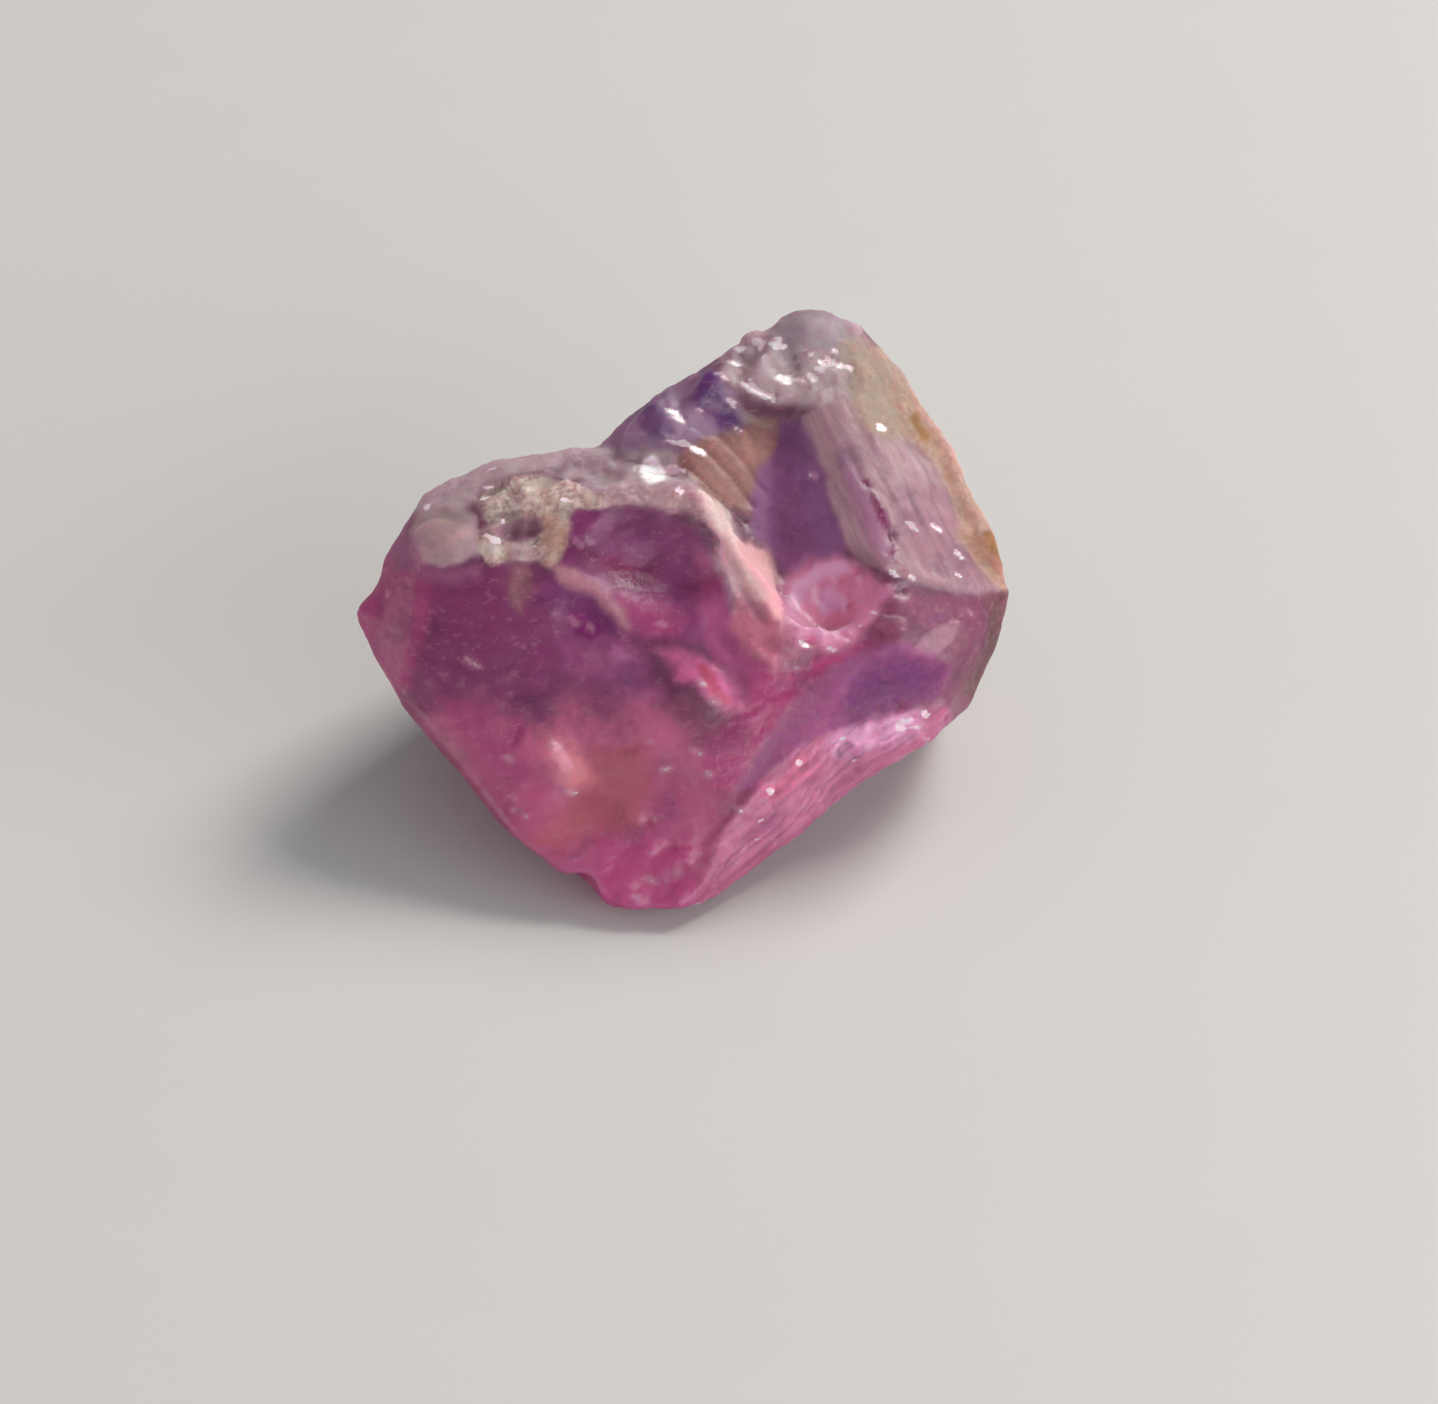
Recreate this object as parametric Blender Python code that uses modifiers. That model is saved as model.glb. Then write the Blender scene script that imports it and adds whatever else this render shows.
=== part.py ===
# A rough spinel crystal, about the size of a pea: two octahedral lumps grown together, with a
# chipped hollow between them, stepped ledges on the flank and a flat face underneath.
# It is one natural piece, so it is one solid.
# Finished in metres, +Z up. The origin is on the resting face, under the middle of its box.

import bpy
import bmesh
from mathutils import Euler, Matrix, Vector, noise
from math import exp, pi, radians, sin

# Everything is shaped in millimetres and scaled to metres at the end.
METRE = 0.001
# How far the lumps reach below the resting plane, which cuts them flat.
UNDER = -0.5
# The middle of the finished crystal's box, where the origin goes.
ORIGIN = (0.04, 4.30)

# The surface is rebuilt from cells of this size, worn a little, and thinned to this many triangles.
CELL = 0.08
WEAR_STEPS = 1
TRIANGLES = 8400

# Colour, roughness and metal share of the stone.
COLOUR = (0.30, 0.07, 0.16, 1.0)
ROUGHNESS = 0.32
METALLIC = 0.0
CREASE_ANGLE = 20

# Corners of the front lump, in millimetres: the tip it leans on, its girdle, and its high ridge.
FRONT_TIP = [(0.05, 0.0, 0.3), (-0.62, 0.02, 0.3), (-1.08, 0.25, 0.4), (-2.08, 0.66, 0.8)]
FRONT_GIRDLE = [(-2.46, 0.85, 1.12), (-3.08, 1.5, 1.76), (-4.31, 2.42, 2.72), (-4.1, 2.82, 3.42),
                (-4.88, 3.45, 3.1), (-4.55, 4.4, 3.8), (-4.4, 5.3, 3.2), (-2.4, 7.9, 2.6), (0.6, 8.3, 2.2)]
FRONT_RIDGE = [(-3.85, 3.8, 4.5), (-2.46, 4.35, 5.1), (-1.23, 4.5, 5.2), (0.3, 4.35, 5.15),
               (0.95, 3.6, 4.7), (1.6, 2.5, 3.75), (-3.9, 5.1, 4.6), (-2.77, 5.5, 4.95), (-1.38, 5.85, 5.0)]
FRONT_SIDE = [(0.92, 0.86, 0.45), (1.17, 1.3, 1.6), (2.0, 2.1, 2.1), (2.5, 2.2, 0.8), (2.9, 2.45, 3.45)]
FRONT_FOOT = [(-3.6, 2.6, UNDER), (-0.6, 0.4, UNDER), (1.6, 1.4, UNDER), (-3.4, 5.6, UNDER),
              (1.0, 7.4, UNDER)]

# Corners of the high lump, whose grooved face looks up and to the right.
HIGH_TIP = [(5.12, 4.5, 3.1), (4.9, 4.0, 2.4), (4.15, 2.75, 3.0), (3.35, 2.5, 3.45), (3.3, 3.5, 4.25)]
HIGH_SIDE = [(3.88, 2.75, 2.2), (2.18, 2.15, 3.2), (2.05, 2.2, 2.0), (2.62, 2.2, 0.85), (3.85, 2.95, 1.45)]
HIGH_CREST = [(4.92, 5.0, 3.9), (4.08, 6.1, 5.0), (3.45, 6.9, 5.7), (2.7, 7.2, 6.4), (2.0, 7.3, 6.6),
              (1.15, 7.0, 6.4), (0.2, 6.5, 5.85), (2.35, 5.85, 5.75), (-0.5, 6.2, 5.4), (-1.4, 6.0, 4.85),
              (0.1, 5.1, 5.3)]
HIGH_BACK = [(4.7, 6.9, 2.4), (3.6, 8.6, 3.0), (0.9, 8.6, 3.6), (-0.9, 7.9, 2.6)]
HIGH_FOOT = [(3.6, 2.6, UNDER), (4.2, 6.4, UNDER), (0.2, 7.6, UNDER), (0.8, 2.0, UNDER)]

# Flat crystal faces that trim both lumps: a point on each, and the way it looks.
FACES = {
    "under_tip": ((-0.3, 0.6, 0.1), (0.05, -0.36, -0.93)),
    "left_low": ((-4.31, 2.75, 2.4), (-0.71, -0.138, -0.69)),
    "left_under": ((-1.5, 1.45, 0.0), (-0.598, -0.342, -0.724)),
    "right_low": ((3.85, 2.95, 1.4), (0.556, -0.418, -0.718)),
    "back_low": ((1.0, 8.1, 2.65), (0.1, 0.72, -0.69)),
    "back_high": ((1.2, 7.9, 4.6), (-0.15, 0.93, 0.33)),
    "left_back": ((-3.6, 6.2, 3.2), (-0.62, 0.74, 0.25)),
    "right_back": ((4.6, 6.3, 3.0), (0.85, 0.5, -0.16)),
}

# Chips knocked out of it: centre, radii and turn in degrees of the uneven ball that fits each hollow.
UNEVENNESS = 0.16
CHIPS = {
    "dish_under_ridge": ((-0.5, 2.9, 5.08), (1.55, 1.15, 1.22), (42, 12, 0)),
    "flank": ((-1.3, 5.0, 6.9), (2.1, 1.1, 1.9), (0, -22, 0)),
    "tip_notch": ((-1.5, 0.45, 0.4), (0.3, 0.45, 0.3), (0, 0, 0)),
    "right_chip": ((5.95, 6.7, 3.9), (1.5, 1.7, 1.5), (0, 25, 20)),
    "back_chip": ((-1.2, 8.7, 4.9), (1.9, 1.3, 1.5), (0, 30, 0)),
    "back_low_chip": ((2.4, 8.7, 1.9), (1.3, 1.0, 1.1), (0, -20, 0)),
}

# The valley between the lumps: its bottom from back to front, and its left and right rims.
VALLEY_BOTTOM = [(1.45, 5.85, 5.2), (1.4, 4.9, 4.5), (1.38, 4.1, 3.95), (1.75, 3.4, 3.55), (2.1, 2.9, 3.35)]
VALLEY_LEFT = [(0.15, 5.9, 5.75), (0.45, 5.0, 5.4), (0.85, 4.2, 5.1), (1.2, 3.4, 4.55), (1.6, 2.7, 3.95)]
VALLEY_RIGHT = [(2.02, 5.9, 5.75), (2.2, 5.0, 5.2), (2.38, 4.3, 4.85), (2.75, 3.5, 4.3), (2.95, 3.0, 3.8)]

# Small crystal corners that stand on the flank, each spanned by its point and its foot.
CORNERS = {
    "first_corner": [(-0.43, 5.9, 5.69), (-0.15, 6.5, 5.66), (-0.92, 5.48, 5.32), (-0.05, 5.2, 5.58),
                     (-0.9, 5.6, 4.7), (0.3, 5.4, 4.9), (-0.65, 6.7, 4.8), (0.5, 6.6, 5.0)],
    "second_corner": [(0.35, 6.0, 6.26), (0.75, 6.5, 6.2), (0.1, 5.48, 5.8), (0.92, 5.3, 5.62),
                      (0.05, 5.6, 5.1), (1.1, 5.4, 5.2), (0.15, 6.8, 5.2), (1.4, 6.7, 5.5)],
    "high_corner": [(1.15, 6.1, 6.32), (1.5, 6.7, 6.46), (0.85, 5.9, 5.5), (0.9, 7.0, 5.6), (2.1, 7.0, 5.9),
                    (1.9, 6.0, 5.7)],
}

# Rounded knobs grown on it: centre and radii.
KNOBS = {
    "frosted_knob": ((-3.6, 3.95, 4.45), (0.5, 0.46, 0.32)),
    "left_knob": ((-4.78, 3.66, 3.25), (0.25, 0.32, 0.3)),
    "top_knob": ((1.95, 6.95, 6.3), (0.55, 0.5, 0.36)),
}

# Thin triangular growth plates on the flat faces: their corners on the face, and how proud they stand.
PLATE_ROOT = 0.4
PLATE_TAPER = 0.88
PLATES = {
    "back_plate": ([(-0.3, 7.82, 4.2), (2.5, 8.28, 4.1), (1.2, 7.55, 5.6)], 0.13),
    "back_low_plate": ([(-1.6, 6.9, 1.02), (2.4, 6.5, 1.19), (0.4, 7.9, 2.35)], 0.1),
    "left_plate": ([(-3.7, 2.9, 1.8), (-2.3, 3.2, 0.35), (-3.9, 4.4, 1.7)], 0.1),
}

# Ledges: the middle, size and turn of the block that leaves each.
LEDGES = {
    "back_ledge": ((2.9, 8.75, 4.7), (2.4, 1.0, 1.6), (22, 0, 8)),
}

# Swells and dents: centre, reach, and height along the surface's normal (a dent is negative).
SWELLS = {
    "wedge_dent": ((-1.5, 2.87, 3.71), 0.3, -0.16),
    "wedge_side": ((-1.1, 2.6, 3.45), 0.3, 0.1),
    "front_swell": ((0.2, 1.7, 2.5), 1.1, 0.12),
    "left_swell": ((-2.9, 2.6, 3.1), 0.9, 0.08),
    "brown_dent": ((-1.4, 1.25, 1.75), 0.45, -0.09),
    "bright_swell": ((-1.85, 1.6, 2.1), 0.3, 0.07),
    "streak": ((0.39, 2.05, 3.0), 0.28, 0.09),
    "under_lip": ((0.75, 2.55, 3.75), 0.4, -0.12),
    "pitted_bowl": ((2.3, 3.3, 3.7), 0.5, -0.14),
    "bowl_rim": ((2.9, 2.75, 3.75), 0.4, 0.04),
}

# Raised or sunken lines: the points they run through, their reach and their height.
LINES = {
    "ridge_lip": ([(0.3, 4.35, 5.15), (0.95, 3.6, 4.75), (1.4, 2.8, 3.95), (1.6, 2.4, 3.5)], 0.26, 0.07),
    "lip_hollow": ([(0.0, 3.5, 4.45), (0.35, 2.9, 4.0), (0.8, 2.4, 3.45)], 0.36, -0.1),
    "right_edge": ([(3.4, 3.55, 4.2), (5.0, 4.45, 3.15)], 0.12, 0.05),
    "crust_edge": ([(-3.3, 3.9, 4.6), (-2.7, 3.4, 4.3), (-1.9, 3.2, 4.1), (-1.2, 2.9, 3.75)], 0.2, 0.05),
    "violet_strip": ([(4.1, 2.9, 2.7), (3.0, 2.3, 2.7), (2.1, 2.0, 2.4), (1.3, 1.4, 1.8)], 0.34, -0.07),
    "band_edge": ([(4.0, 2.8, 2.1), (3.0, 2.1, 2.0), (2.1, 1.6, 1.7), (1.3, 1.1, 1.2)], 0.24, 0.07),
}

# Crusted or pitted places: centre, reach and depth of the roughness.
ROUGH = {
    "ridge_crust": ((-2.6, 4.0, 4.9), 0.9, 0.16),
    "ridge_back": ((-1.6, 5.3, 5.0), 0.9, 0.1),
    "crest": ((1.5, 6.4, 6.3), 0.95, 0.1),
    "bowl_floor": ((2.3, 3.3, 3.6), 0.6, 0.12),
    "band": ((2.9, 2.2, 1.6), 1.1, 0.1),
    "right_rim": ((4.4, 5.2, 4.4), 0.9, 0.1),
    "tip": ((-0.2, 0.6, 0.8), 0.9, 0.07),
}

# The grooves of the high face: which way they run, their spacing, depth, and where they fade out.
GROOVE_WAY = (0.45, -0.7, -0.56)
GROOVE_STEP = 0.42
GROOVE_DEPTH = 0.025
GROOVED_MIDDLE = (3.6, 5.0, 4.75)
GROOVED_REACH = 1.7


def solid(name, work, collection):
    """A mesh object from a bmesh, in the given collection."""
    mesh = bpy.data.meshes.new(name)
    work.to_mesh(mesh)
    work.free()
    made = bpy.data.objects.new(name, mesh)
    collection.objects.link(made)
    return made


def as_cutter(made):
    """Keeps a helper out of renders."""
    made.hide_render = True
    made.display_type = "WIRE"
    return made


def lump(name, corners, collection):
    """The flat-faced body that a set of corners spans."""
    work = bmesh.new()
    for corner in corners:
        work.verts.new(corner)
    bmesh.ops.convex_hull(work, input=work.verts)
    inner = [v for v in work.verts if not v.link_faces]
    bmesh.ops.delete(work, geom=inner, context="VERTS")
    bmesh.ops.recalc_face_normals(work, faces=work.faces)
    return solid(name, work, collection)


def plate(name, corners, rise, collection):
    """A thin plate that leans out of a face by its rise, smaller at its top."""
    corners = [Vector(corner) for corner in corners]
    middle = sum(corners, Vector()) / len(corners)
    way = (corners[1] - corners[0]).cross(corners[2] - corners[0]).normalized()
    if way.dot(middle - Vector((ORIGIN[0], ORIGIN[1], 3.0))) < 0:
        way = -way
    foot = [corner - way * PLATE_ROOT for corner in corners]
    top = [middle + (corner - middle) * PLATE_TAPER + way * rise for corner in corners]
    return as_cutter(lump(name, foot + corners + top, collection))


def valley(collection):
    """The body of the valley, which runs on past both rims."""
    corners = list(VALLEY_BOTTOM)
    for rim in (VALLEY_LEFT, VALLEY_RIGHT):
        for low, high in zip(VALLEY_BOTTOM, rim):
            corners.append(Vector(low) + 2 * (Vector(high) - Vector(low)))
    return lump("valley", corners, collection)


def ball(name, centre, radii, turn, collection, unevenness=0.0):
    """A stretched ball, uneven when it stands for a chip."""
    work = bmesh.new()
    bmesh.ops.create_icosphere(work, subdivisions=4, radius=1.0)
    for v in work.verts:
        v.co *= 1 + unevenness * noise.noise(v.co * 2.2 + Vector(centre))
    return as_cutter(placed(solid(name, work, collection), centre, radii, turn))


def block(name, middle, size, turn, collection):
    """A turned block, which leaves a ledge where it is cut away."""
    work = bmesh.new()
    bmesh.ops.create_cube(work, size=1.0)
    return as_cutter(placed(solid(name, work, collection), middle, size, turn))


def placed(made, middle, size, turn):
    """Stretches, turns and moves a mesh's points, and leaves its object at the origin."""
    turned = Euler([radians(a) for a in turn]).to_matrix().to_4x4()
    made.data.transform(Matrix.Translation(middle) @ turned @ Matrix.Diagonal((*size, 1)))
    return made


def combine(body, other, operation):
    """Adds a Boolean to the body, which cuts or joins the other."""
    step = body.modifiers.new(f"{operation.lower()} {other.name}", "BOOLEAN")
    step.operation = operation
    step.object = other
    step.solver = "EXACT"


def applied(body):
    """The body with its modifiers applied."""
    graph = bpy.context.evaluated_depsgraph_get()
    mesh = bpy.data.meshes.new_from_object(body.evaluated_get(graph))
    body.modifiers.clear()
    body.data = mesh
    return body


def trim(body, point, way):
    """Cuts the body flat at a plane, keeps what lies behind it, and closes the cut."""
    work = bmesh.new()
    work.from_mesh(body.data)
    everything = work.verts[:] + work.edges[:] + work.faces[:]
    cut = bmesh.ops.bisect_plane(work, geom=everything, plane_co=point, plane_no=way, clear_outer=True)
    rim = [e for e in cut["geom_cut"] if isinstance(e, bmesh.types.BMEdge)]
    bmesh.ops.edgenet_fill(work, edges=rim)
    bmesh.ops.recalc_face_normals(work, faces=work.faces)
    work.to_mesh(body.data)
    work.free()


def even_out(body):
    """Rebuilds the surface from small even cells, and eases its edges as wear does."""
    cells = body.modifiers.new("even cells", "REMESH")
    cells.mode = "VOXEL"
    cells.voxel_size = CELL
    ease = body.modifiers.new("worn edges", "SMOOTH")
    ease.factor = 0.5
    ease.iterations = WEAR_STEPS
    applied(body)


def fading(at, centre, reach):
    """1 at a place's centre, falling softly to 0 beyond its reach."""
    away = (at - Vector(centre)).length / reach
    return exp(-away * away) if away < 2.6 else 0.0


def beside_line(at, points, reach):
    """1 on a line through the points, falling softly to 0 beyond its reach."""
    nearest = 1e9
    for start, end in zip(points, points[1:]):
        along = Vector(end) - Vector(start)
        part_way = min(1, max(0, (at - Vector(start)).dot(along) / along.length_squared))
        nearest = min(nearest, (at - Vector(start) - along * part_way).length)
    return exp(-(nearest / reach) ** 2) if nearest < 2.6 * reach else 0.0


def shape_relief(body):
    """Moves the surface in and out along its normals."""
    mesh = body.data
    way = Vector(GROOVE_WAY).normalized()
    across = way.cross(Vector((0.62, -0.15, 0.77))).normalized()
    normals = [v.normal.copy() for v in mesh.vertices]
    for vertex, normal in zip(mesh.vertices, normals):
        at = vertex.co.copy()
        height = 0.05 * noise.noise(at * 0.9)
        for centre, reach, rise in SWELLS.values():
            height += rise * fading(at, centre, reach)
        for points, reach, rise in LINES.values():
            height += rise * beside_line(at, points, reach)
        for centre, reach, depth in ROUGH.values():
            share = fading(at, centre, reach)
            if share:
                height += share * depth * (noise.turbulence(at * 2.4, 3, False) - 0.45)
        share = fading(at, GROOVED_MIDDLE, GROOVED_REACH)
        if share and normal.x > 0.2 and normal.z > 0.2:
            wander = 0.25 * noise.noise(at * 0.8)
            height += share * GROOVE_DEPTH * sin(2 * pi * (at.dot(across) + wander) / GROOVE_STEP)
        vertex.co = at + normal * height


def thin_out(body):
    """Leaves about as many triangles as the part needs."""
    count = sum(len(f.vertices) - 2 for f in body.data.polygons)
    fewer = body.modifiers.new("fewer faces", "DECIMATE")
    fewer.ratio = TRIANGLES / count
    applied(body)


def finish(body):
    """Gives the stone its material, and keeps its edges sharp where faces meet."""
    stone = bpy.data.materials.new("spinel")
    stone.use_nodes = True
    look = stone.node_tree.nodes["Principled BSDF"].inputs
    look["Base Color"].default_value = COLOUR
    look["Roughness"].default_value = ROUGHNESS
    look["Metallic"].default_value = METALLIC
    body.data.materials.clear()
    body.data.materials.append(stone)
    body.data.shade_smooth()
    body.data.set_sharp_from_angle(angle=radians(CREASE_ANGLE))


def clear_scene():
    for old in list(bpy.data.objects):
        bpy.data.objects.remove(old)


def build():
    clear_scene()
    crystal_parts = bpy.data.collections.new("raw spinel crystal")
    cutters = bpy.data.collections.new("cutters")
    bpy.context.scene.collection.children.link(crystal_parts)
    bpy.context.scene.collection.children.link(cutters)

    crystal = lump("spinel_crystal", FRONT_TIP + FRONT_GIRDLE + FRONT_RIDGE + FRONT_SIDE + FRONT_FOOT,
                   crystal_parts)
    high = lump("high_lump", HIGH_TIP + HIGH_SIDE + HIGH_CREST + HIGH_BACK + HIGH_FOOT, cutters)
    combine(crystal, as_cutter(high), "UNION")
    applied(crystal)
    for point, way in FACES.values():
        trim(crystal, point, way)
    for name, (corners, rise) in PLATES.items():
        combine(crystal, plate(name, corners, rise, cutters), "UNION")
    for name, (centre, radii) in KNOBS.items():
        combine(crystal, ball(name, centre, radii, (0, 0, 0), cutters), "UNION")
    for name, (centre, radii, turn) in CHIPS.items():
        combine(crystal, ball(name, centre, radii, turn, cutters, UNEVENNESS), "DIFFERENCE")
    for name, corners in CORNERS.items():
        combine(crystal, as_cutter(lump(name, corners, cutters)), "UNION")
    combine(crystal, as_cutter(valley(cutters)), "DIFFERENCE")
    for name, (middle, size, turn) in LEDGES.items():
        combine(crystal, block(name, middle, size, turn, cutters), "DIFFERENCE")
    applied(crystal)
    even_out(crystal)
    shape_relief(crystal)
    thin_out(crystal)
    trim(crystal, (0, 0, 0), (0, 0, -1))
    crystal.data.transform(Matrix.Scale(METRE, 4) @ Matrix.Translation((-ORIGIN[0], -ORIGIN[1], 0)))
    finish(crystal)
    return crystal


build()
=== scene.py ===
# Raw spinel crystal: the looks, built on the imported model.
# The stone's fine surface is worked in millimetres and scaled back to metres at the end.
import bpy
from math import cos, exp, inf, pi, radians, sin, sqrt
from mathutils import Matrix, Vector, kdtree, noise


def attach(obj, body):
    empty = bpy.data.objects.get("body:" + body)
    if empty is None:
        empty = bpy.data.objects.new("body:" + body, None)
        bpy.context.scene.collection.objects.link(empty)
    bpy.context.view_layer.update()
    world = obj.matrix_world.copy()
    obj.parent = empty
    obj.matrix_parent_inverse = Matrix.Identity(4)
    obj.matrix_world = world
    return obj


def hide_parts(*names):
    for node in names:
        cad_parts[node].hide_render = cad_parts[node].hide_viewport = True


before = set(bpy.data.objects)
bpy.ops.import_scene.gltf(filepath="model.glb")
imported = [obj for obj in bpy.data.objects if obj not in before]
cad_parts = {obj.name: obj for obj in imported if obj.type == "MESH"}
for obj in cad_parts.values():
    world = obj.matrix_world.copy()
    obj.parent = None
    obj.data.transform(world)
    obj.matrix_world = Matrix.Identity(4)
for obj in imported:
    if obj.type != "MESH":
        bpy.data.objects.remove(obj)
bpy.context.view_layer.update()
metre = 1000.0  # millimetres in a metre
noise.seed_set(7)  # noise_vector starts from the clock otherwise, and the stone would differ each run
print("frame loaded:", sorted(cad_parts))


# Camera, at the angle the photograph was taken from

camera = {
    "lens": 100.0,
    "sensor": 36.0,
    "elevation": 36.0,  # degrees above the floor, looking along +Y
    "aim": (0.56, -1.30, 2.08),  # mm
    "distance": 61.4,  # mm
    "frameWidth": 1438,  # pixels of the photograph
    "frameHeight": 1404,
    "clip": (0.001, 5),  # m
    "seenDepth": 0.3,  # mm behind what the camera meets that still count as seen
}
tilt = radians(camera["elevation"])
toRight = Vector((1, 0, 0))
toTop = Vector((0, sin(tilt), cos(tilt)))
toEye = Vector((0, -cos(tilt), sin(tilt)))
eye = Vector(camera["aim"]) + toEye * camera["distance"]
focal = camera["lens"] / camera["sensor"] * camera["frameWidth"]  # in pixels
middleX, middleY = camera["frameWidth"] / 2, camera["frameHeight"] / 2


def addCamera():
    data = bpy.data.cameras.new("photoCamera")
    data.lens = camera["lens"]
    data.sensor_width = camera["sensor"]
    data.clip_start, data.clip_end = camera["clip"]
    shot = bpy.data.objects.new("photoCamera", data)
    bpy.context.scene.collection.objects.link(shot)
    shot.location = eye / metre
    shot.rotation_euler = (-toEye).to_track_quat("-Z", "Y").to_euler()
    bpy.context.scene.camera = shot
    print("camera placed")


def pixelOf(at):
    # where the photograph shows a point given in mm
    offset = at - eye
    size = focal / -offset.dot(toEye)
    return middleX + offset.dot(toRight) * size, middleY - offset.dot(toTop) * size


def firstMet(way):
    # the point of the stone, in mm, that a ray from the camera meets first
    hit, place = cadStone.ray_cast(eye / metre, way.normalized())[:2]
    return place * metre if hit else None


def onStone(pixel):
    # the point of the stone that a pixel of the photograph shows
    return firstMet(toRight * (pixel[0] - middleX) + toTop * (middleY - pixel[1]) - toEye * focal)


def isSeen(at, normal):
    # whether the camera sees a point of the stone
    way = at - eye
    if normal.dot(way) > 0:
        return False
    place = firstMet(way)
    return place is None or (place - eye).length > way.length - camera["seenDepth"]


def linear(colour):
    # a display colour, 0 to 255, as the amount of light
    return Vector([((share / 255 + 0.055) / 1.055) ** 2.4 for share in colour])


def patch(outline, colour, edge, **settings):
    box = [pick(place[i] for place in outline) for i in (0, 1) for pick in (min, max)]
    return {"outline": outline, "box": box, "colour": linear(colour), "edge": edge, **settings}


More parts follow.
